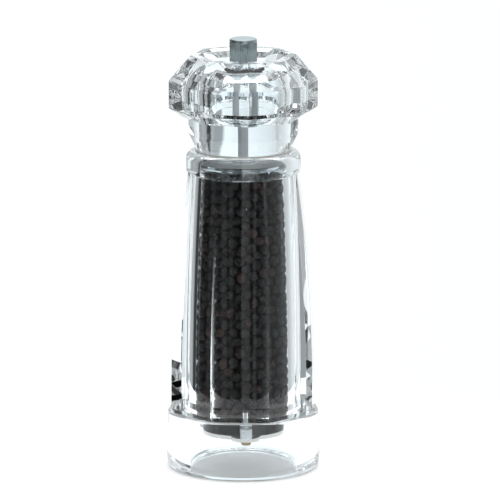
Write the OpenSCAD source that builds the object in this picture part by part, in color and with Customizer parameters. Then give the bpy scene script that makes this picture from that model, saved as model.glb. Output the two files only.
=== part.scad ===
/* [Barrel] */
// Overall height of the barrel, foot to rim
barrel_h = 126; // [120:1:132]
// Corner radius of the barrel where the taper starts, above the foot
barrel_low_r = 29.9; // [29:0.1:30.4]
// Number of flat facets round the head and the barrel
facets = 8; // [6:1:10]
// Radius of the round foot
foot_r = 30.2; // [30:0.1:32]
// Height of the foot
foot_h = 23; // [22:0.5:25]
// Radius of the round collar at the top of the barrel
collar_r = 22.4; // [21:0.1:23.5]
// Radius of the bore that holds the peppercorns
bore_r = 17; // [16:0.1:17.4]
// Radius of the hollow that holds the grinder
well_r = 20.9; // [20.6:0.1:21.5]
// Height of the ledge that the grinder hangs from
ledge_z = 22.8; // [22:0.2:23.4]

/* [Head] */
// Corner radius of the head's widest band
head_r = 29.2; // [27:0.1:31]
// Corner radius of the flat table on top of the head
table_r = 20.6; // [19:0.1:22]
// Height of the head's table above the ground
table_z = 163.6; // [162:0.1:165]
// Radius of the round neck under the head
neck_r = 21.5; // [20.5:0.1:22.5]
// Turn of the head's facets from the barrel's facets, degrees
head_turn = 30; // [0:0.5:45]
// Length of the spigot that centres the head in the bore
spigot_h = 10.4; // [9:0.2:11]

/* [Metalwork] */
// Side of the square spindle
spindle_w = 3.8; // [3.4:0.1:4]
// Radius of the adjusting knob
knob_r = 5.35; // [5:0.05:6]
// Height of the top of the knob
knob_top_z = 170; // [168:0.5:172]
// Number of straight knurls round the knob
knurls = 48; // [36:1:60]
// Number of teeth on the turning burr
burr_teeth = 14; // [10:1:18]

/* [Hidden] */

$fn = 96;
half_step = 180 / facets;       // half the angle of one facet
corner_cos = cos(half_step);    // flat distance over corner radius
fit = 0.3;                      // gap between pieces that move past each other
skin = 0.05;                    // running gap of a bearing

taper_z = foot_h + 2;           // the taper's corners reach their full radius here
collar_z = 118;                 // lower edge of the round collar
taper_drop = 1150;              // curvature of the taper, height squared over inset
shoulder_r = 3;                 // rounding of the collar's top edge

neck_low_r = neck_r - 3.4;      // underside of the neck, inside its bevel
neck_bevel_h = 6.4;             // height of that bevel
head_low_z = barrel_h + 0.6;    // the neck rests on the glide ring
neck_top_z = 139;               // where the neck meets the head
band_low_z = 142.8;             // lower edge of the widest band
band_high_z = 153.6;            // upper edge of the widest band
spigot_r = bore_r - fit;
spigot_z = head_low_z - spigot_h;
ring_z = spigot_z + 6;          // middle of the spigot's rubber ring
skirt_low_r = 15.9;             // hollow under the spigot, at its mouth
skirt_high_r = 14.9;            // and at its ceiling
skirt_top_z = spigot_z + 3.8;   // height of that ceiling
spindle_hole_r = 3;

dish_r = table_r - 3;           // corner radius of the dish in the table
dish_low_r = 9.6;               // corner radius of the dish floor
dish_z = 157.4;                 // height of the dish floor

cavity_z = spigot_z + 8.3;      // floor of the head's own hollow
cavity_low_r = 12.6;            // hollow inside the neck
cavity_r = 15.8;                // and inside the band
boss_r = 5;                     // tube round the spindle under the dish
boss_z = 149.5;
roof_z = dish_z - 2.1;          // ceiling of the hollow

plate_r = 9.2;                  // drive plate, let into the ceiling
plate_t = 1.4;
plate_z = skirt_top_z - 0.9;
plate_screw_at = 6.3;

housing_r = 15.8;               // steel ring round the burrs
housing_z = 15.6;
burr_r = 14.4;                  // outside of the outer burr
grinder_plate_t = 1.4;
mouth_low_r = 11.4;             // cone of the outer burr at its lower end
mouth_high_r = 8.6;             // and at its upper end
burr_gap = 0.45;                // gap between the burrs at the finest grind
bridge_w = 7;
bridge_t = 1.2;
lug_at = 15.2;                  // radius of the centres of the plate's lugs
lug_r = 5.2;
screw_at = 18.5;                // radius of the three grinder screws
screw_start = 6;                // turn of the first screw from the front, degrees
post_r = 2.2;                   // stepped posts that hang the grinder from the ledge
post_h = 3.8;                   // thick part of a post, above the plate
stud_r = 1;                     // thin threaded part, up into the ledge
stud_h = 3.2;                   // its length inside the ledge
screw_hole_r = 0.85;            // thread inside the posts, open at the plate
screw_r = 0.78;
screw_grip = 2.6;               // length of screw inside a post
plate_screw_r = 0.85;           // screws of the drive plate
plate_screw_h = 3;              // their length above the plate
ring_h = 1.2;                   // groove of the spigot's rubber ring

spindle_round_r = 2.6;          // the square's corners are turned to this radius
thread_r = 1.85;                // threaded ends of the spindle
spindle_low_z = 11.4;
spindle_top_z = 166;
rotor_z = 14;
rotor_h = 7.6;
pocket_r = 4.4;                 // pocket in the inner burr for the spring
pocket_z = 15.6;

// One ring of corners for each [corner radius, height] of a profile, closed by two caps
module faceted_solid(profile, turn = 0) {
    rings = len(profile);
    points = [
        for (p = profile) for (i = [0:facets - 1])
            let (a = turn + half_step + i * 360 / facets)
                [p[0] * sin(a), -p[0] * cos(a), p[1]]
    ];
    sides = [
        for (k = [0:rings - 2]) for (i = [0:facets - 1])
            let (j = (i + 1) % facets)
                [k * facets + i, (k + 1) * facets + i, (k + 1) * facets + j, k * facets + j]
    ];
    low = [[for (i = [0:facets - 1]) i]];
    high = [[for (i = [facets - 1:-1:0]) (rings - 1) * facets + i]];
    polyhedron(points, concat(sides, low, high), convexity = 4);
}

// Corner radius of the taper: upright at the foot, then leaning in more and more
function taper_r(z) = barrel_low_r - pow(max(z - 28, 0), 2) / taper_drop;

taper_steps = 12;
taper = concat(
    [[foot_r - 2.7, foot_h - 1.5]],
    [
        for (i = [0:taper_steps])
            let (z = taper_z + i * (collar_z + 1 - taper_z) / taper_steps) [taper_r(z), z]
    ]
);

// Quarter circle of [radius, height] points from a foot edge up to its side
function foot_round(r, bend, steps) = [
    for (i = [0:steps]) let (a = 90 * i / steps) [r - bend + bend * sin(a), bend - bend * cos(a)]
];

module ring_of(count, radius, start = 0) {
    for (i = [0:count - 1])
        rotate([0, 0, start + i * 360 / count])
            translate([0, -radius, 0])
                children();
}

module tube(outer, inner, height) {
    difference() {
        cylinder(r = outer, h = height);
        translate([0, 0, -1])
            cylinder(r = inner, h = height + 2);
    }
}

module collar() {
    rotate_extrude() {
        translate([0, collar_z])
            square([collar_r, barrel_h - collar_z - shoulder_r]);
        translate([0, collar_z])
            square([collar_r - shoulder_r, barrel_h - collar_z]);
        translate([collar_r - shoulder_r, barrel_h - shoulder_r])
            circle(r = shoulder_r);
    }
}

module barrel() {
    color("aliceblue", 0.35)
        difference() {
            union() {
                rotate_extrude()
                    polygon(concat(
                        [[0, 0]],
                        foot_round(foot_r - 0.4, 2.6, 5),
                        [[foot_r, 6], [foot_r - 0.6, foot_h - 1], [foot_r - 1.4, foot_h], [0, foot_h]]
                    ));
                faceted_solid(taper);
                collar();
            }
            cylinder(r = bore_r, h = barrel_h + 1);
            translate([0, 0, -1])
                cylinder(r = well_r, h = ledge_z + 1);
            translate([0, 0, -0.01])
                cylinder(r1 = well_r + 0.6, r2 = well_r, h = 0.6);
            ring_of(3, screw_at, start = screw_start)
                cylinder(r = stud_r, h = ledge_z + stud_h);
        }
}

module head() {
    color("aliceblue", 0.35)
        difference() {
            union() {
                faceted_solid([
                    [neck_r / corner_cos, neck_top_z],
                    [head_r, band_low_z],
                    [head_r, band_high_z],
                    [table_r, table_z]
                ], turn = head_turn);
                rotate_extrude()
                    polygon([
                        [0, spigot_z],
                        [spigot_r - 0.3, spigot_z],
                        [spigot_r, spigot_z + 0.3],
                        [spigot_r, head_low_z],
                        [neck_low_r, head_low_z],
                        [neck_r, head_low_z + neck_bevel_h],
                        [neck_r, neck_top_z + 1],
                        [0, neck_top_z + 1]
                    ]);
            }
            faceted_solid([
                [dish_low_r, dish_z],
                [dish_r, table_z],
                [dish_r + 1.7, table_z + 1]
            ], turn = head_turn);
            translate([0, 0, spigot_z - 1])
                cylinder(r = spindle_hole_r, h = table_z);
            rotate_extrude()
                polygon([
                    [0, cavity_z],
                    [cavity_low_r, cavity_z],
                    [cavity_low_r + 0.4, neck_top_z + 1.5],
                    [cavity_r - 0.4, band_low_z + 0.2],
                    [cavity_r, band_high_z - 3],
                    [cavity_r - 1.2, band_high_z - 0.6],
                    [boss_r + 4.5, roof_z - 0.3],
                    [boss_r, roof_z],
                    [boss_r, boss_z],
                    [0, boss_z]
                ]);
            translate([0, 0, spigot_z])
                cylinder(r1 = skirt_low_r, r2 = skirt_high_r, h = skirt_top_z - spigot_z);
            translate([0, 0, spigot_z - 1])
                cylinder(r = skirt_high_r, h = 2);
            translate([0, 0, plate_z])
                cylinder(r = plate_r + 0.1, h = plate_t);
            translate([0, 0, ring_z - ring_h / 2])
                tube(spigot_r + 1, spigot_r - 1, ring_h);
            ring_of(2, plate_screw_at, start = 45)
                translate([0, 0, plate_z])
                    cylinder(r = plate_screw_r + skin, h = plate_t + plate_screw_h);
        }
}

module glide_ring() {
    color("whitesmoke")
        translate([0, 0, barrel_h])
            tube(collar_r - shoulder_r - 0.6, bore_r, head_low_z - barrel_h);
}

module adjusting_knob() {
    knob_z = dish_z + 1;
    edge = 0.7;
    color("silver")
        difference() {
            rotate_extrude()
                polygon([
                    [0, knob_z],
                    [knob_r - edge, knob_z],
                    [knob_r, knob_z + edge],
                    [knob_r, knob_top_z - edge],
                    [knob_r - edge, knob_top_z],
                    [0, knob_top_z]
                ]);
            translate([0, 0, knob_z - 1])
                cylinder(r = thread_r + fit, h = spindle_top_z - knob_z + 2);
            for (i = [0:knurls - 1])
                rotate([0, 0, i * 360 / knurls])
                    translate([knob_r, 0, knob_z + 1.6])
                        rotate([0, 0, 45])
                            translate([-0.15, -0.15, 0])
                                cube([0.3, 0.3, knob_top_z - knob_z - 3.2]);
        }
}

module knob_washer() {
    color("silver")
        translate([0, 0, dish_z])
            tube(knob_r + 0.6, spindle_hole_r, 1);
}

module drive_plate() {
    color("silver")
        translate([0, 0, plate_z])
            difference() {
                cylinder(r = plate_r, h = plate_t);
                translate([-spindle_w / 2 - 0.1, -spindle_w / 2 - 0.1, -1])
                    cube([spindle_w + 0.2, spindle_w + 0.2, plate_t + 2]);
                ring_of(2, plate_screw_at, start = 45)
                    translate([0, 0, -1])
                        cylinder(r = plate_screw_r + skin, h = plate_t + 2);
            }
}

module drive_plate_screws() {
    color("silver")
        ring_of(2, plate_screw_at, start = 45)
            translate([0, 0, plate_z - 0.9])
                union() {
                    cylinder(r1 = 1.3, r2 = 1.6, h = 0.9);
                    cylinder(r = plate_screw_r, h = plate_t + plate_screw_h);
                }
}

module spigot_ring() {
    color("gainsboro")
        translate([0, 0, ring_z])
            rotate_extrude()
                translate([spigot_r - 0.4, 0])
                    circle(r = 0.5, $fn = 24);
}

module spindle() {
    color("lightgray")
        union() {
            translate([0, 0, rotor_z])
                intersection() {
                    translate([-spindle_w / 2, -spindle_w / 2, 0])
                        cube([spindle_w, spindle_w, 150 - rotor_z]);
                    cylinder(r = spindle_round_r, h = 150 - rotor_z);
                }
            translate([0, 0, spindle_low_z])
                cylinder(r = thread_r, h = spindle_top_z - spindle_low_z);
        }
}

module inner_burr() {
    fall = (mouth_low_r - mouth_high_r) / (ledge_z - housing_z);
    low = mouth_low_r - burr_gap + fall * (housing_z - rotor_z);
    high = low - fall * rotor_h;
    color("dimgray")
        translate([0, 0, rotor_z])
            difference() {
                cylinder(r1 = low, r2 = high, h = rotor_h);
                translate([0, 0, pocket_z - rotor_z])
                    cylinder(r = pocket_r, h = rotor_h);
                translate([-spindle_w / 2, -spindle_w / 2, -1])
                    cube([spindle_w, spindle_w, rotor_h]);
                for (i = [0:burr_teeth - 1])
                    rotate([0, 0, i * 360 / burr_teeth])
                        translate([high + 0.3, 0, 2])
                            rotate([12, 0, 45])
                                cube([2, 2, rotor_h + 2]);
            }
}

module grinder_housing() {
    color("dimgray")
        translate([0, 0, housing_z])
            tube(housing_r, burr_r, ledge_z - housing_z);
}

module outer_burr() {
    color("gray")
        translate([0, 0, housing_z])
            difference() {
                cylinder(r = burr_r - skin, h = ledge_z - housing_z);
                translate([0, 0, -0.01])
                    cylinder(r1 = mouth_low_r, r2 = mouth_high_r, h = ledge_z - housing_z + 0.02);
                translate([-burr_r + 1.5, -bridge_w / 2, ledge_z - housing_z - bridge_t])
                    cube([2 * burr_r - 3, bridge_w, bridge_t + 1]);
                for (i = [0:burr_teeth + 3])
                    rotate([0, 0, i * 360 / (burr_teeth + 4)])
                        translate([mouth_high_r + 0.6, 0, -1])
                            rotate([0, 0, 45])
                                translate([-0.6, -0.6, 0])
                                    cube([1.2, 1.2, ledge_z]);
            }
}

module bridge() {
    color("silver")
        translate([0, 0, ledge_z - bridge_t])
            difference() {
                translate([-burr_r + 1.6, -bridge_w / 2 + 0.1, 0])
                    cube([2 * burr_r - 3.2, bridge_w - 0.2, bridge_t]);
                translate([0, 0, -1])
                    cylinder(r = 3.2, h = bridge_t + 2);
            }
}

module bridge_bush() {
    color("ivory")
        translate([0, 0, ledge_z - bridge_t])
            difference() {
                union() {
                    cylinder(r = 3.2, h = bridge_t);
                    translate([0, 0, bridge_t])
                        cylinder(r = 4, h = 0.8);
                }
                translate([0, 0, -1])
                    cylinder(r = spindle_round_r + skin, h = bridge_t + 3);
            }
}

// Points of one wire section, turned to its place round the helix
function wire_ring(t, coil_r, wire, low, rise, turns, sides) = [
    for (k = [0:sides - 1])
        let (a = 360 * turns * t, b = 360 * k / sides, r = coil_r + wire / 2 * cos(b))
            [r * cos(a), r * sin(a), low + rise * t + wire / 2 * sin(b)]
];

module spring() {
    turns = 4;
    sides = 8;
    wire = 0.7;
    coil_r = 3.6;
    steps = 20 * turns;
    low = pocket_z + 0.6 + wire / 2;
    rise = ledge_z - bridge_t - wire / 2 - low;
    points = [
        for (s = [0:steps]) each wire_ring(s / steps, coil_r, wire, low, rise, turns, sides)
    ];
    walls = [
        for (s = [0:steps - 1]) for (k = [0:sides - 1])
            let (n = (k + 1) % sides)
                [s * sides + k, s * sides + n, (s + 1) * sides + n, (s + 1) * sides + k]
    ];
    first = [[for (k = [sides - 1:-1:0]) k]];
    last = [[for (k = [0:sides - 1]) steps * sides + k]];
    color("silver")
        polyhedron(points, concat(walls, first, last), convexity = 8);
}

module spring_seat() {
    color("silver")
        translate([0, 0, pocket_z])
            tube(pocket_r - 0.1, spindle_round_r + 0.1, 0.6);
}

module grinder_plate() {
    color("silver")
        translate([0, 0, housing_z - grinder_plate_t])
            difference() {
                union() {
                    cylinder(r = housing_r + 0.2, h = grinder_plate_t);
                    ring_of(3, lug_at, start = screw_start)
                        cylinder(r = lug_r, h = grinder_plate_t);
                }
                translate([0, 0, -1])
                    cylinder(r = mouth_low_r + 0.8, h = grinder_plate_t + 2);
                ring_of(3, screw_at, start = screw_start)
                    translate([0, 0, -1])
                        cylinder(r = screw_hole_r + skin, h = grinder_plate_t + 2);
            }
}

module grinder_screws() {
    head_h = 1.2;
    color("goldenrod")
        ring_of(3, screw_at, start = screw_start)
            translate([0, 0, housing_z - grinder_plate_t - head_h])
                union() {
                    cylinder(r1 = 1.5, r2 = 2.1, h = head_h);
                    cylinder(r = screw_r, h = head_h + grinder_plate_t + screw_grip);
                }
}

module screw_posts() {
    color("silver")
        ring_of(3, screw_at, start = screw_start)
            translate([0, 0, housing_z])
                difference() {
                    union() {
                        cylinder(r = post_r, h = post_h);
                        cylinder(r = stud_r, h = ledge_z + stud_h - housing_z);
                    }
                    translate([0, 0, -1])
                        cylinder(r = screw_hole_r, h = 1 + screw_grip + 0.4);
                }
}

module end_washer() {
    color("silver")
        translate([0, 0, rotor_z - 0.8])
            tube(5.6, thread_r, 0.8);
}

module dome_nut() {
    top = rotor_z - 0.8;
    color("goldenrod")
        difference() {
            rotate_extrude()
                polygon([
                    [0, top - 2.6],
                    [2.2, top - 2.5],
                    [3.9, top - 1.9],
                    [4.6, top - 1.1],
                    [4.6, top],
                    [0, top]
                ]);
            translate([0, 0, spindle_low_z])
                cylinder(r = thread_r + skin, h = 6);
        }
}

module peppercorns() {
    low_z = ledge_z + 1.2;
    gap = 0.4;
    color("#3a2a22")
        difference() {
            union() {
                translate([0, 0, low_z])
                    cylinder(r = bore_r - 0.2, h = spigot_z - gap - low_z);
                translate([0, 0, spigot_z - 1])
                    cylinder(r = skirt_low_r - gap, h = 1);
                translate([0, 0, spigot_z])
                    cylinder(r1 = skirt_low_r - gap, r2 = skirt_high_r - gap, h = skirt_top_z - gap - spigot_z);
            }
            cylinder(r = spindle_round_r + 1.6, h = barrel_h);
            translate([0, 0, plate_z - 1.3])
                cylinder(r = plate_r + gap, h = 5);
        }
}

barrel();
head();
glide_ring();
adjusting_knob();
knob_washer();
drive_plate();
drive_plate_screws();
spigot_ring();
spindle();
inner_burr();
outer_burr();
bridge();
bridge_bush();
spring();
spring_seat();
grinder_housing();
grinder_plate();
grinder_screws();
screw_posts();
end_washer();
dome_nut();
peppercorns();
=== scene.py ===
"""Looks of a clear acrylic pepper mill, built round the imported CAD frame.

Lengths in this script are millimetres until mesh_object() turns them into metres.
"""

import math

import bmesh
import bpy
import numpy as np
from mathutils import Matrix, Vector, noise


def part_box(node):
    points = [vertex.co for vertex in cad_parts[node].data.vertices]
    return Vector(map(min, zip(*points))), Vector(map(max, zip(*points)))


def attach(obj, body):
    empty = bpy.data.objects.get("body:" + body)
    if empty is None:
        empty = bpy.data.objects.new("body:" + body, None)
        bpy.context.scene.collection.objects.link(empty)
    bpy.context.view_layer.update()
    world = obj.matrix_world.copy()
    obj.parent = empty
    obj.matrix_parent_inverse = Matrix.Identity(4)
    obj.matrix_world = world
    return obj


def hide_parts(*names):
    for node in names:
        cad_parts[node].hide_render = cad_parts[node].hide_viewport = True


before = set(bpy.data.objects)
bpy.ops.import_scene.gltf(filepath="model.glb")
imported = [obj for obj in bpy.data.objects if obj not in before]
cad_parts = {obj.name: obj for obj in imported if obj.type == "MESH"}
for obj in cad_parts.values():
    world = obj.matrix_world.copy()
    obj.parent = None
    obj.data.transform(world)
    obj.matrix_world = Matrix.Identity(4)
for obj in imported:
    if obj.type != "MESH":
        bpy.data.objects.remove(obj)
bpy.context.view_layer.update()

MM = 0.001


def box_mm(node):
    """Lowest and highest corner of a CAD node in millimetres."""
    low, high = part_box(node)
    return low / MM, high / MM


def radius_of(node):
    """Largest distance of a CAD node's points from the mill's axis, in millimetres."""
    return max(math.hypot(v.co.x, v.co.y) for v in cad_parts[node].data.vertices) / MM


# ---------------------------------------------------------------- sizes, as in the CAD
FACETS = 8
STEP = 360 / FACETS
CORNER_COS = math.cos(math.radians(STEP / 2))

BARREL_H = box_mm("barrel")[1].z
FOOT_R = radius_of("barrel")
FOOT_H = 23.0
FOOT_BEND = 2.6      # rounding of the foot's lower edge
BARREL_R = 29.9      # corner radius where the taper starts
TAPER_Z = FOOT_H + 2
TAPER_FLAT_Z = 28.0  # the taper's facets stand upright below this
TAPER_DROP = 1150.0  # curvature of the taper, height squared over inset
TAPER_RINGS = 97     # rings of corners up the taper
TAPER_EDGE = 0.08    # rounding of the taper's corners
COLLAR_Z = 118.0
COLLAR_R = 22.4
SHOULDER_R = 3.0     # rounding of the collar's top edge
BORE_R = 17.0
WELL_R = 20.9        # hollow that holds the grinder
LEDGE_Z = 22.8       # ledge that the grinder hangs from
SCREWS = 3
SCREW_AT = 18.5
SCREW_START = 6.0    # turn of the first screw from the front, degrees
STUD_R = 1.03
STUD_TOP = box_mm("screw_posts")[1].z

HEAD_LOW = box_mm("glide_ring")[1].z
HEAD_R = radius_of("head")
HEAD_TURN = 30.0     # turn of the head's facets from the barrel's, degrees
HEAD_EDGE = 0.5      # rounding of the crown's edges
TABLE_R = 20.6
TABLE_Z = box_mm("head")[1].z
BAND_LOW = 142.8
BAND_HIGH = 153.6
NECK_R = 21.5
NECK_LOW_R = NECK_R - 3.4
NECK_BEVEL_H = 6.4
NECK_TOP = 139.0
SPIGOT_Z = box_mm("head")[0].z
SPIGOT_R = BORE_R - 0.3
SKIRT_LOW_R = 15.9   # hollow under the spigot, at its mouth
SKIRT_HIGH_R = 14.9  # and at its ceiling
SKIRT_TOP = SPIGOT_Z + 3.8
CAVITY_Z = SPIGOT_Z + 8.3
CAVITY_LOW_R = 12.6  # the head's own hollow, inside the neck
CAVITY_R = 15.8      # and inside the band
BOSS_R = 5.0         # tube round the spindle under the dish
BOSS_Z = 149.5
DISH_R = TABLE_R - 3
DISH_LOW_R = 9.6
DISH_EDGE = 0.4      # rounding of the dish's edges
DISH_Z = box_mm("knob_washer")[0].z
ROOF_Z = DISH_Z - 2.1
PLATE_R = radius_of("drive_plate")
PLATE_HOLE_R = PLATE_R + 0.1
PLATE_LOW, PLATE_TOP = (corner.z for corner in box_mm("drive_plate"))
SPINDLE_HOLE_R = 3.0

KNOB_LOW, KNOB_HIGH = (corner.z for corner in box_mm("adjusting_knob"))
KNOB_R = box_mm("adjusting_knob")[1].x
KNURLS = 48
KNURL_DEPTHS = (0.0, 0.16, 0.22, 0.16)  # how far each point of a knurl lies under the knob's radius
KNOB_EDGE = 0.7
KNURL_END = 1.2      # plain stretch at each end of the knurling

ROUND = 160          # points round a turned acrylic surface
ROUND_HOLE = 64      # and round a small hole


# ---------------------------------------------------------------- mesh helpers
def mesh_object(name, points, faces):
    """A mesh object from points in millimetres."""
    mesh = bpy.data.meshes.new(name)
    mesh.from_pydata([Vector(p) * MM for p in points], [], faces)
    mesh.validate()
    obj = bpy.data.objects.new(name, mesh)
    bpy.context.scene.collection.objects.link(obj)
    bm = bmesh.new()
    bm.from_mesh(mesh)
    bmesh.ops.recalc_face_normals(bm, faces=bm.faces)
    bm.to_mesh(mesh)
    bm.free()
    return obj


def lofted(name, rings):
    """A closed solid through rings of equally many points, with a cap at each end."""
    n = len(rings[0])
    points = [p for ring in rings for p in ring]
    faces = [tuple(range(n - 1, -1, -1)), tuple(range(len(points) - n, len(points)))]
    for k in range(len(rings) - 1):
        for i in range(n):
            j = (i + 1) % n
            faces.append((k * n + i, k * n + j, (k + 1) * n + j, (k + 1) * n + i))
    return mesh_object(name, points, faces)


def circle(radius, z, n, turn=0.0):
    """n points round the axis, counted from the front, -Y."""
    return [
        (radius * math.sin(a), -radius * math.cos(a), z)
        for a in (math.radians(turn) + math.tau * i / n for i in range(n))
    ]


def faceted(name, profile, turn=0.0):
    """The CAD's faceted solid: a ring of corners for each (corner radius, height)."""
    return lofted(name, [circle(r, z, FACETS, turn + STEP / 2) for r, z in profile])


def turned(name, profile, n=ROUND):
    """A solid of revolution from (radius, height) points, bottom to top."""
    return lofted(name, [circle(r, z, n) for r, z in profile])


def apply_modifiers(obj):
    """Bakes the modifiers into the object's mesh."""
    bpy.context.view_layer.update()
    graph = bpy.context.evaluated_depsgraph_get()
    mesh = bpy.data.meshes.new_from_object(obj.evaluated_get(graph), depsgraph=graph)
    obj.modifiers.clear()
    mesh.materials.clear()
    obj.data = mesh
    return obj


def bevelled(obj, width, angle=30.0):
    """Rounds the edges sharper than angle."""
    mod = obj.modifiers.new("bevel", "BEVEL")
    mod.width = width * MM
    mod.segments = 3
    mod.limit_method = "ANGLE"
    mod.angle_limit = math.radians(angle)
    mod.miter_outer = "MITER_ARC"
    return apply_modifiers(obj)


def combined(obj, operation, *others):
    """obj with the others joined to it or cut from it."""
    for other in others:
        mod = obj.modifiers.new("solid", "BOOLEAN")
        mod.operation = operation
        mod.solver = "MANIFOLD"
        mod.object = other
        apply_modifiers(obj)
        bpy.data.objects.remove(other)
    return obj


def smoothed(obj, angle=28.0):
    """Smooth shading across edges flatter than angle, with flat facets kept flat."""
    bm = bmesh.new()
    bm.from_mesh(obj.data)
    bmesh.ops.remove_doubles(bm, verts=bm.verts, dist=1e-7)
    limit = math.radians(angle)
    for face in bm.faces:
        face.smooth = True
    for edge in bm.edges:
        edge.smooth = len(edge.link_faces) == 2 and edge.calc_face_angle(0.0) < limit
    bm.to_mesh(obj.data)
    bm.free()
    mod = obj.modifiers.new("normals", "WEIGHTED_NORMAL")
    mod.keep_sharp = True
    return obj


def arc(centre, radius, start, end, steps):
    """(r, z) points round a centre, from one angle to another in degrees."""
    return [
        (centre[0] + radius * math.cos(math.radians(a)), centre[1] + radius * math.sin(math.radians(a)))
        for a in np.linspace(start, end, steps + 1)
    ]


# ---------------------------------------------------------------- materials
def material(name):
    """A new node material with its Principled shader."""
    mat = bpy.data.materials.new(name)
    mat.use_nodes = True
    return mat, mat.node_tree, mat.node_tree.nodes["Principled BSDF"]


def node(tree, kind, **values):
    """A new node, with inputs set by name (spaces written as _) and properties by name."""
    new = tree.nodes.new(kind)
    for key, value in values.items():
        socket = new.inputs.get(key.replace("_", " "))
        if socket is not None:
            socket.default_value = value
        else:
            setattr(new, key, value)
    return new


def noise_value(tree, scale, detail=3.0, stretch=(1, 1, 1)):
    """Fac of a noise over the object's own coordinates."""
    coords = node(tree, "ShaderNodeTexCoord")
    mapping = node(tree, "ShaderNodeMapping")
    mapping.inputs["Scale"].default_value = stretch
    tex = node(tree, "ShaderNodeTexNoise", Scale=scale, Detail=detail)
    tree.links.new(coords.outputs["Object"], mapping.inputs["Vector"])
    tree.links.new(mapping.outputs["Vector"], tex.inputs["Vector"])
    return tex.outputs["Fac"]


def ranged(tree, value, low, high):
    """A noise value spread over low..high; nearly all of a noise lies between 0.3 and 0.7."""
    spread = node(tree, "ShaderNodeMapRange", From_Min=0.3, From_Max=0.7, To_Min=low, To_Max=high)
    tree.links.new(value, spread.inputs["Value"])
    return spread.outputs["Result"]


def two_tones(tree, factor, first, second):
    """A colour that goes from the first to the second with factor."""
    mix = node(tree, "ShaderNodeMix", data_type="RGBA")
    mix.inputs["A"].default_value = (*first, 1)
    mix.inputs["B"].default_value = (*second, 1)
    tree.links.new(factor, mix.inputs["Factor"])
    return mix.outputs["Result"]


def bumped(tree, shader, height, strength, distance):
    """Feeds a height into the shader's normal."""
    bump = node(tree, "ShaderNodeBump", Strength=strength, Distance=distance * MM)
    tree.links.new(height, bump.inputs["Height"])
    tree.links.new(bump.outputs["Normal"], shader.inputs["Normal"])


def acrylic():
    """Clear polished acrylic with a breath of moulding ripple."""
    mat, tree, shader = material("acrylic")
    shader.inputs["Base Color"].default_value = (0.94, 0.98, 1.0, 1)
    shader.inputs["Transmission Weight"].default_value = 1.0
    shader.inputs["IOR"].default_value = 1.49
    rough = ranged(tree, noise_value(tree, 90.0), 0.0, 0.012)
    tree.links.new(rough, shader.inputs["Roughness"])
    bumped(tree, shader, noise_value(tree, 55.0, 1.0), 0.04, 0.05)
    return mat


def metal(name, color, rough, grain=(1, 1, 1), scale=900.0, bump=0.12, metallic=1.0):
    """Metal whose colour and roughness wander along a grain."""
    mat, tree, shader = material(name)
    shader.inputs["Metallic"].default_value = metallic
    tone = noise_value(tree, scale, 4.0, grain)
    dark = [c * 0.78 for c in color]
    tree.links.new(two_tones(tree, tone, dark, color), shader.inputs["Base Color"])
    tree.links.new(ranged(tree, tone, rough * 0.75, rough * 1.3), shader.inputs["Roughness"])
    bumped(tree, shader, tone, bump, 0.05)
    return mat


def plastic(name, color, rough):
    """Moulded plastic with a faint grain."""
    mat, tree, shader = material(name)
    shader.inputs["Subsurface Weight"].default_value = 0.1
    grain = noise_value(tree, 1400.0, 3.0)
    dark = [c * 0.9 for c in color]
    tree.links.new(two_tones(tree, grain, dark, color), shader.inputs["Base Color"])
    tree.links.new(ranged(tree, grain, rough * 0.8, rough * 1.2), shader.inputs["Roughness"])
    bumped(tree, shader, grain, 0.1, 0.03)
    return mat


def pepper_skin():
    """Wrinkled black pepper, some corns browner than others."""
    mat, tree, shader = material("pepper")
    tone = node(tree, "ShaderNodeAttribute", attribute_name="tone")
    ramp = node(tree, "ShaderNodeValToRGB")
    stops = ramp.color_ramp.elements
    stops[0].position, stops[0].color = 0.0, (0.0035, 0.003, 0.0026, 1)
    stops[1].position, stops[1].color = 1.0, (0.060, 0.022, 0.013, 1)
    middle = ramp.color_ramp.elements.new(0.6)
    middle.color = (0.012, 0.0075, 0.0055, 1)
    tree.links.new(tone.outputs["Fac"], ramp.inputs["Fac"])
    blotch = noise_value(tree, 900.0, 4.0)
    mix = node(tree, "ShaderNodeMix", data_type="RGBA", blend_type="MULTIPLY")
    mix.inputs["Factor"].default_value = 0.7
    tree.links.new(ramp.outputs["Color"], mix.inputs["A"])
    tree.links.new(ranged(tree, blotch, 0.35, 1.3), mix.inputs["B"])
    tree.links.new(mix.outputs["Result"], shader.inputs["Base Color"])
    shader.inputs["Roughness"].default_value = 0.62
    bumped(tree, shader, blotch, 0.8, 0.35)
    return mat


ACRYLIC = acrylic()
KNOB_METAL = metal("knob_metal", (0.47, 0.55, 0.57), 0.34, metallic=0.9)
SATIN_STEEL = metal("satin_steel", (0.75, 0.77, 0.78), 0.25, grain=(1, 1, 8), metallic=0.6)
SPINDLE_METAL = metal("spindle_metal", (0.8, 0.84, 0.86), 0.35, grain=(6, 6, 0.3), metallic=0.35)
SPRING_WIRE = metal("spring_wire", (0.55, 0.55, 0.55), 0.18)
BURR_STEEL = metal("burr_steel", (0.09, 0.085, 0.08), 0.42, bump=0.3)
HOUSING_STEEL = metal("housing_steel", (0.02, 0.023, 0.023), 0.32, grain=(1, 1, 10))
PLATE_STEEL = metal("plate_steel", (0.6, 0.58, 0.55), 0.14)
BRASS = metal("brass", (0.42, 0.26, 0.13), 0.3)
POST_METAL = metal("post_metal", (0.8, 0.84, 0.86), 0.35, metallic=0.5)
NYLON = plastic("nylon", (0.72, 0.71, 0.67), 0.45)
SEAL = plastic("seal", (0.75, 0.75, 0.74), 0.5)
PEPPER = pepper_skin()


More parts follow.
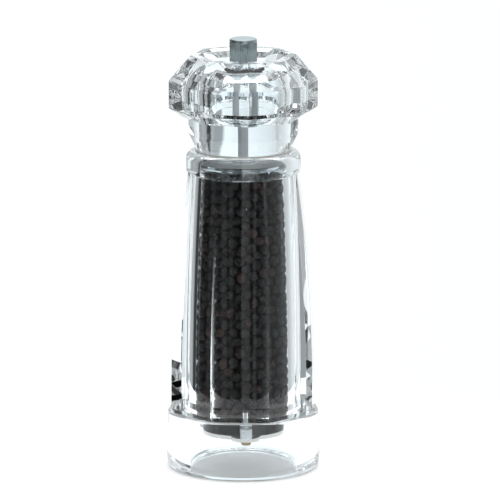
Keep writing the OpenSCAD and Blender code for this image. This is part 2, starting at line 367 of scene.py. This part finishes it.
# ---------------------------------------------------------------- acrylic barrel
def foot_solid():
    """The round foot, widest a little above its rounded lower edge."""
    centre_r = FOOT_R - 0.4 - FOOT_BEND
    lower_edge = [(centre_r + FOOT_BEND * math.sin(a), FOOT_BEND * (1 - math.cos(a)))
                  for a in np.linspace(0, math.pi / 2, 9)]
    upper_edge = [(FOOT_R - inset, FOOT_H - down)
                  for inset, down in ((0.6, 1), (0.8, 0.5), (1.1, 0.15), (1.5, 0))]
    return turned("barrel_acrylic", lower_edge + [(FOOT_R, 6.0)] + upper_edge)


def taper_solid():
    """The faceted taper, which leans in along a parabola from foot to collar."""
    heights = np.linspace(TAPER_Z, COLLAR_Z + 1, TAPER_RINGS)
    leaning = [(BARREL_R - max(z - TAPER_FLAT_Z, 0) ** 2 / TAPER_DROP, z) for z in heights]
    return bevelled(faceted("taper", [(FOOT_R - 2.7, FOOT_H - 1.5)] + leaning), TAPER_EDGE)


def barrel_visual():
    """The clear body: foot, taper and collar round the bore and the grinder's hollow."""
    collar = turned(
        "collar",
        [(COLLAR_R - 1, COLLAR_Z - 0.6), (COLLAR_R - 0.2, COLLAR_Z - 0.1), (COLLAR_R, COLLAR_Z + 0.6)]
        + arc((COLLAR_R - SHOULDER_R, BARREL_H - SHOULDER_R), SHOULDER_R, 0, 90, 10),
    )
    body = combined(foot_solid(), "UNION", taper_solid(), collar)
    bore = turned(
        "bore",
        [(BORE_R + 0.5, LEDGE_Z - 1), (BORE_R + 0.5, LEDGE_Z), (BORE_R, LEDGE_Z + 0.5),
         (BORE_R, BARREL_H - 0.4), (BORE_R + 0.9, BARREL_H + 0.5)],
    )
    well = turned(
        "well",
        [(WELL_R + 1.6, -1.1), (WELL_R + 0.6, 0.0), (WELL_R + 0.2, 0.3), (WELL_R, 0.8), (WELL_R, LEDGE_Z)],
    )
    cuts = [bore, well]
    for x, y, _ in circle(SCREW_AT * MM, 0, SCREWS, SCREW_START):
        stud_hole = turned("stud_hole", [(STUD_R, LEDGE_Z - 1), (STUD_R, STUD_TOP + 0.03)], 32)
        stud_hole.data.transform(Matrix.Translation((x, y, 0)))
        cuts.append(stud_hole)
    return combined(body, "DIFFERENCE", *cuts)


barrel = smoothed(barrel_visual())
barrel.data.materials.append(ACRYLIC)
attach(barrel, "barrel")
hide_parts("barrel")


# ---------------------------------------------------------------- acrylic head
def head_visual():
    """The clear turning head: faceted crown and band, round neck and spigot, dished top."""
    crown = faceted(
        "head_acrylic",
        [(NECK_R / CORNER_COS, NECK_TOP), (HEAD_R, BAND_LOW), (HEAD_R, BAND_HIGH), (TABLE_R, TABLE_Z)],
        HEAD_TURN,
    )
    bevelled(crown, HEAD_EDGE, 20.0)
    neck = turned(
        "neck",
        [(SPIGOT_R - 0.3, SPIGOT_Z), (SPIGOT_R - 0.1, SPIGOT_Z + 0.08), (SPIGOT_R, SPIGOT_Z + 0.3),
         (SPIGOT_R, HEAD_LOW), (NECK_LOW_R, HEAD_LOW), (NECK_LOW_R + 0.4, HEAD_LOW + 0.2),
         (NECK_R - 0.25, HEAD_LOW + NECK_BEVEL_H - 0.4), (NECK_R, HEAD_LOW + NECK_BEVEL_H + 0.4),
         (NECK_R, NECK_TOP + 1)],
    )
    combined(crown, "UNION", neck)
    dish = faceted("dish", [(DISH_LOW_R, DISH_Z), (DISH_R, TABLE_Z), (DISH_R + 1.7, TABLE_Z + 1)], HEAD_TURN)
    bevelled(dish, DISH_EDGE, 20.0)
    hole = turned("hole", [(SPINDLE_HOLE_R, SPIGOT_Z - 1), (SPINDLE_HOLE_R, TABLE_Z)], ROUND_HOLE)
    fall = (SKIRT_LOW_R - SKIRT_HIGH_R) / (SKIRT_TOP - SPIGOT_Z)
    recess = turned(
        "recess",
        [(SKIRT_LOW_R + fall, SPIGOT_Z - 1), (SKIRT_HIGH_R, SKIRT_TOP), (PLATE_HOLE_R, SKIRT_TOP),
         (PLATE_HOLE_R, PLATE_TOP)],
    )
    cavity = turned(
        "cavity",
        [(CAVITY_LOW_R, CAVITY_Z), (CAVITY_LOW_R + 0.4, NECK_TOP + 1.5), (CAVITY_R - 0.4, BAND_LOW + 0.2),
         (CAVITY_R, BAND_HIGH - 3), (CAVITY_R - 1.2, BAND_HIGH - 0.6), (BOSS_R + 4.5, ROOF_Z - 0.3),
         (BOSS_R - 1, ROOF_Z)],
    )
    boss = turned("boss", [(BOSS_R, BOSS_Z), (BOSS_R, TABLE_Z)], ROUND_HOLE)
    combined(cavity, "DIFFERENCE", boss)
    return combined(crown, "DIFFERENCE", dish, cavity, hole, recess)


head = smoothed(head_visual(), 24.0)
head.data.materials.append(ACRYLIC)
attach(head, "head")
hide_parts("head")


# ---------------------------------------------------------------- adjusting knob
def knob_visual():
    """The knurled knob: fine straight knurls between plain rounded ends."""
    n = KNURLS * len(KNURL_DEPTHS)
    knurl_low, knurl_high = KNOB_LOW + KNURL_END, KNOB_HIGH - KNURL_END
    bottom = [(KNOB_R - KNOB_EDGE, KNOB_LOW), (KNOB_R - 0.2, KNOB_LOW + 0.2), (KNOB_R, KNOB_LOW + KNOB_EDGE),
              (KNOB_R, knurl_low), (KNOB_R, knurl_low + 0.3)]
    top = [(KNOB_R, knurl_high - 0.3), (KNOB_R, knurl_high), (KNOB_R, KNOB_HIGH - KNOB_EDGE),
           (KNOB_R - 0.2, KNOB_HIGH - 0.2), (KNOB_R - KNOB_EDGE, KNOB_HIGH),
           (KNOB_R - 1.4, KNOB_HIGH - 0.04), (0.4, KNOB_HIGH - 0.08)]
    radii = [KNOB_R - KNURL_DEPTHS[i % len(KNURL_DEPTHS)] for i in range(n)]
    knurled = [
        [(r * math.sin(math.tau * i / n), -r * math.cos(math.tau * i / n), z) for i, r in enumerate(radii)]
        for z in (knurl_low + 0.5, knurl_high - 0.5)
    ]
    rings = [circle(r, z, n) for r, z in bottom] + knurled + [circle(r, z, n) for r, z in top]
    return lofted("knob_knurled", rings)


knob = smoothed(knob_visual(), 32.0)
knob.data.materials.append(KNOB_METAL)
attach(knob, "knob")
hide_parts("adjusting_knob")


# ---------------------------------------------------------------- peppercorns
CORN_R = 2.12
CORN_COUNT = 1290
CORN_BANDS = 6       # one object for each band of height
CORE_R = 2.7         # the corns lie round the spindle
UNSEEN_R = 8.5       # corns nearer the axis than this are never seen
SETTLE_STEPS = 200
SEARCH_EVERY = 8     # steps between two searches for neighbours
SEARCH_R = 2.9 * CORN_R
PUSH = 0.32          # part of an overlap that each corn gives way in one step


def packed_spheres():
    """Centres and radii of a loose random fill of the bore, settled by pushing overlaps apart."""
    rng = np.random.default_rng(7)
    low, high = LEDGE_Z + 0.2, SKIRT_TOP - 0.2
    wall_z, wall_r = [SPIGOT_Z - 2, SPIGOT_Z, SKIRT_TOP], [BORE_R, SKIRT_LOW_R, SKIRT_HIGH_R]
    radii = CORN_R * (1 + 0.11 * np.clip(rng.standard_normal(CORN_COUNT), -1.6, 1.6))
    angle = rng.uniform(0, math.tau, CORN_COUNT)
    out = np.sqrt(rng.uniform((CORE_R + 2) ** 2, (BORE_R - 2) ** 2, CORN_COUNT))
    up = rng.uniform(low + 2, high - 2, CORN_COUNT)
    centres = np.stack([out * np.cos(angle), out * np.sin(angle), up], 1)
    for step in range(SETTLE_STEPS):
        if step % SEARCH_EVERY == 0:
            near = ((centres[:, None, :] - centres[None, :, :]) ** 2).sum(2) < SEARCH_R ** 2
            first, second = np.nonzero(np.triu(near, 1))
        gap = centres[first] - centres[second]
        dist = np.sqrt((gap ** 2).sum(1))
        overlap = np.clip(radii[first] + radii[second] - dist, 0, None)
        push = gap * (overlap / dist * PUSH)[:, None]
        np.add.at(centres, first, push)
        np.add.at(centres, second, -push)
        flat = np.hypot(centres[:, 0], centres[:, 1])
        wall = np.interp(centres[:, 2], wall_z, wall_r)
        held = np.clip(flat, CORE_R + radii, wall - 0.1 - radii)
        centres[:, :2] *= (held / flat)[:, None]
        top = np.where(flat < PLATE_R + CORN_R, PLATE_LOW - 1.2, high)
        centres[:, 2] = np.clip(centres[:, 2], low + radii, top - radii)
    return centres, radii


def corn_shape(seed):
    """One wrinkled peppercorn of unit radius as points and triangles."""
    bm = bmesh.new()
    bmesh.ops.create_icosphere(bm, subdivisions=3, radius=1.0)
    offset = Vector((seed * 7.3, seed * 1.9, seed * 4.1))
    for v in bm.verts:
        ridge = 1 - abs(noise.noise(v.co * 2.6 + offset)) * 2
        lump = noise.noise(v.co * 1.1 + offset)
        v.co *= 0.97 + 0.05 * lump + 0.055 * ridge
    points = np.array([v.co[:] for v in bm.verts])
    faces = np.array([[v.index for v in f.verts] for f in bm.faces])
    bm.free()
    return points, faces


def pepper_band(index, centres, radii, shapes, rng):
    """One object holding the corns of one band of height."""
    points, faces, tones, count = [], [], [], 0
    for centre, radius in zip(centres, radii):
        shape, tris = shapes[rng.integers(len(shapes))]
        angle = rng.uniform(0, math.tau)
        turn = np.array(Matrix.Rotation(angle, 3, Vector(rng.standard_normal(3)).normalized()))
        squash = np.array([1, 1, rng.uniform(0.9, 1.0)])
        points.append((shape * squash) @ turn.T * radius + centre)
        faces.append(tris + count)
        tones.append(np.full(len(shape), rng.uniform(0, 1) ** 1.6))
        count += len(shape)
    mesh = bpy.data.meshes.new(f"peppercorns_{index}")
    mesh.from_pydata((np.concatenate(points) * MM).tolist(), [], np.concatenate(faces).tolist())
    mesh.shade_smooth()
    tone = mesh.attributes.new("tone", "FLOAT", "POINT")
    tone.data.foreach_set("value", np.concatenate(tones))
    mesh.materials.append(PEPPER)
    obj = bpy.data.objects.new(f"peppercorns_{index}", mesh)
    bpy.context.scene.collection.objects.link(obj)
    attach(obj, "barrel")
    return obj


def pepper_fill():
    """All the corns, in bands from the grinder up."""
    centres, radii = packed_spheres()
    seen = np.hypot(centres[:, 0], centres[:, 1]) > UNSEEN_R
    centres, radii = centres[seen], radii[seen]
    rng = np.random.default_rng(11)
    shapes = [corn_shape(seed) for seed in range(10)]
    order = np.argsort(centres[:, 2])
    return [
        pepper_band(i, centres[part], radii[part], shapes, rng)
        for i, part in enumerate(np.array_split(order, CORN_BANDS))
    ]


for band in pepper_fill():
    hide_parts("peppercorns")


# ---------------------------------------------------------------- CAD pieces that stay
DRESSED = {
    "glide_ring": NYLON,
    "bridge_bush": NYLON,
    "spigot_ring": SEAL,
    "knob_washer": SATIN_STEEL,
    "drive_plate": SATIN_STEEL,
    "drive_plate_screws": SATIN_STEEL,
    "spindle": SPINDLE_METAL,
    "bridge": SATIN_STEEL,
    "spring": SPRING_WIRE,
    "spring_seat": SATIN_STEEL,
    "inner_burr": BURR_STEEL,
    "outer_burr": BURR_STEEL,
    "grinder_housing": HOUSING_STEEL,
    "grinder_plate": PLATE_STEEL,
    "grinder_screws": BRASS,
    "dome_nut": BRASS,
    "screw_posts": POST_METAL,
    "end_washer": SATIN_STEEL,
}

for node_name, finish in DRESSED.items():
    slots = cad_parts[node_name].data.materials
    slots.clear()
    slots.append(finish)


# ---------------------------------------------------------------- floor, light and camera
CAMERA_AZIMUTH = 3.0     # degrees round from the front facet
CAMERA_ELEVATION = 11.8  # degrees above level
CAMERA_DISTANCE = 2500.0
LENS = 461.0         # focal length
AIM_RIGHT = 2.6      # the point looked at lies this far right of the axis
AIM_Z = 86.1         # and this high
FLOOR_R = 150.0
FLOOR_GLOW = 0.15    # painted light that the floor gives off, so that the hollow foot isn't dark
OVERHEAD = 2.2       # brightness of the light overhead
BACKDROP = 1.15      # brightness of the white wall behind the mill
TINT = (0.94, 0.99, 1.0)

# the studio's walls and strips: degrees to the right of the camera's direction, and brightness against
# the backdrop
STUDIO = [
    (-170, 0.03), (-145, 0.04), (-138, 0.35), (-122, 0.35), (-112, 0.04), (-66, 0.04), (-58, 0.03),
    (-52, 0.3), (-36, 0.4), (-26, 0.3), (-14, 0.35), (-11, 1.0), (9, 1.0), (12, 0.25), (16, 0.03),
    (23, 0.03), (27, 0.3), (33, 0.35), (39, 0.35), (43, 0.04), (48, 0.04), (55, 0.15), (68, 0.12),
    (80, 0.04), (108, 0.04), (120, 0.35), (136, 0.35), (146, 0.04),
]


def pale_floor():
    """A pale disc under the mill that glows a little: painted light, so that the shade inside the hollow
    foot isn't dark.
    """
    mat, tree, shader = material("floor")
    tone = noise_value(tree, 20.0)
    tree.links.new(two_tones(tree, tone, [0.93] * 3, [0.95] * 3), shader.inputs["Base Color"])
    shader.inputs["Roughness"].default_value = 0.6
    # painted light: the floor glows though it is no lamp, to lift the shade inside the hollow foot
    shader.inputs["Emission Color"].default_value = (1.0, 1.0, 1.0, 1)
    shader.inputs["Emission Strength"].default_value = FLOOR_GLOW
    floor = lofted("floor", [circle(FLOOR_R, -1.0, 96), circle(FLOOR_R, 0.0, 96)])
    floor.data.materials.append(mat)


def studio_world():
    """Soft studio: white behind, darker sides, a soft light overhead."""
    world = bpy.data.worlds.new("studio")
    bpy.context.scene.world = world
    world.use_nodes = True
    tree = world.node_tree
    background = tree.nodes["Background"]
    coords = node(tree, "ShaderNodeTexCoord")
    split = node(tree, "ShaderNodeSeparateXYZ")
    tree.links.new(coords.outputs["Generated"], split.inputs["Vector"])
    angle = node(tree, "ShaderNodeMath", operation="ARCTAN2")
    tree.links.new(split.outputs["X"], angle.inputs[0])
    tree.links.new(split.outputs["Y"], angle.inputs[1])
    turns = node(tree, "ShaderNodeMapRange", From_Min=-math.pi, From_Max=math.pi)
    tree.links.new(angle.outputs[0], turns.inputs["Value"])
    around = node(tree, "ShaderNodeValToRGB")
    ramp = around.color_ramp  # its own last stop stays: white, right behind the camera
    for i, (degrees, value) in enumerate(STUDIO):
        stop = ramp.elements[0] if i == 0 else ramp.elements.new(0.5)
        stop.position = 0.5 + (degrees - CAMERA_AZIMUTH) / 360
        stop.color = (*[value * BACKDROP * c for c in TINT], 1)
    tree.links.new(turns.outputs["Result"], around.inputs["Fac"])
    up = node(tree, "ShaderNodeMapRange", From_Min=0.55, From_Max=0.8)
    tree.links.new(split.outputs["Z"], up.inputs["Value"])
    mix = node(tree, "ShaderNodeMix", data_type="RGBA")
    mix.inputs["B"].default_value = (OVERHEAD, OVERHEAD, OVERHEAD, 1)
    tree.links.new(up.outputs["Result"], mix.inputs["Factor"])
    tree.links.new(around.outputs["Color"], mix.inputs["A"])
    tree.links.new(mix.outputs["Result"], background.inputs["Color"])


def camera():
    """The camera, far off with a long lens, looking a little down."""
    azimuth, elevation = math.radians(CAMERA_AZIMUTH), math.radians(CAMERA_ELEVATION)
    right = Vector((math.cos(azimuth), math.sin(azimuth), 0))
    away = Vector((math.sin(azimuth) * math.cos(elevation), -math.cos(azimuth) * math.cos(elevation),
                   math.sin(elevation)))
    aim = (right * AIM_RIGHT + Vector((0, 0, AIM_Z))) * MM
    data = bpy.data.cameras.new("camera")
    data.lens = LENS
    data.clip_end = 100
    obj = bpy.data.objects.new("camera", data)
    obj.location = aim + away * CAMERA_DISTANCE * MM
    obj.rotation_euler = away.to_track_quat("Z", "Y").to_euler()
    bpy.context.scene.collection.objects.link(obj)
    bpy.context.scene.camera = obj


pale_floor()
studio_world()
camera()

scene = bpy.context.scene
scene.view_settings.view_transform = "Standard"
scene.cycles.max_bounces = 32
scene.cycles.transmission_bounces = 32
scene.cycles.glossy_bounces = 16
scene.cycles.use_denoising = True
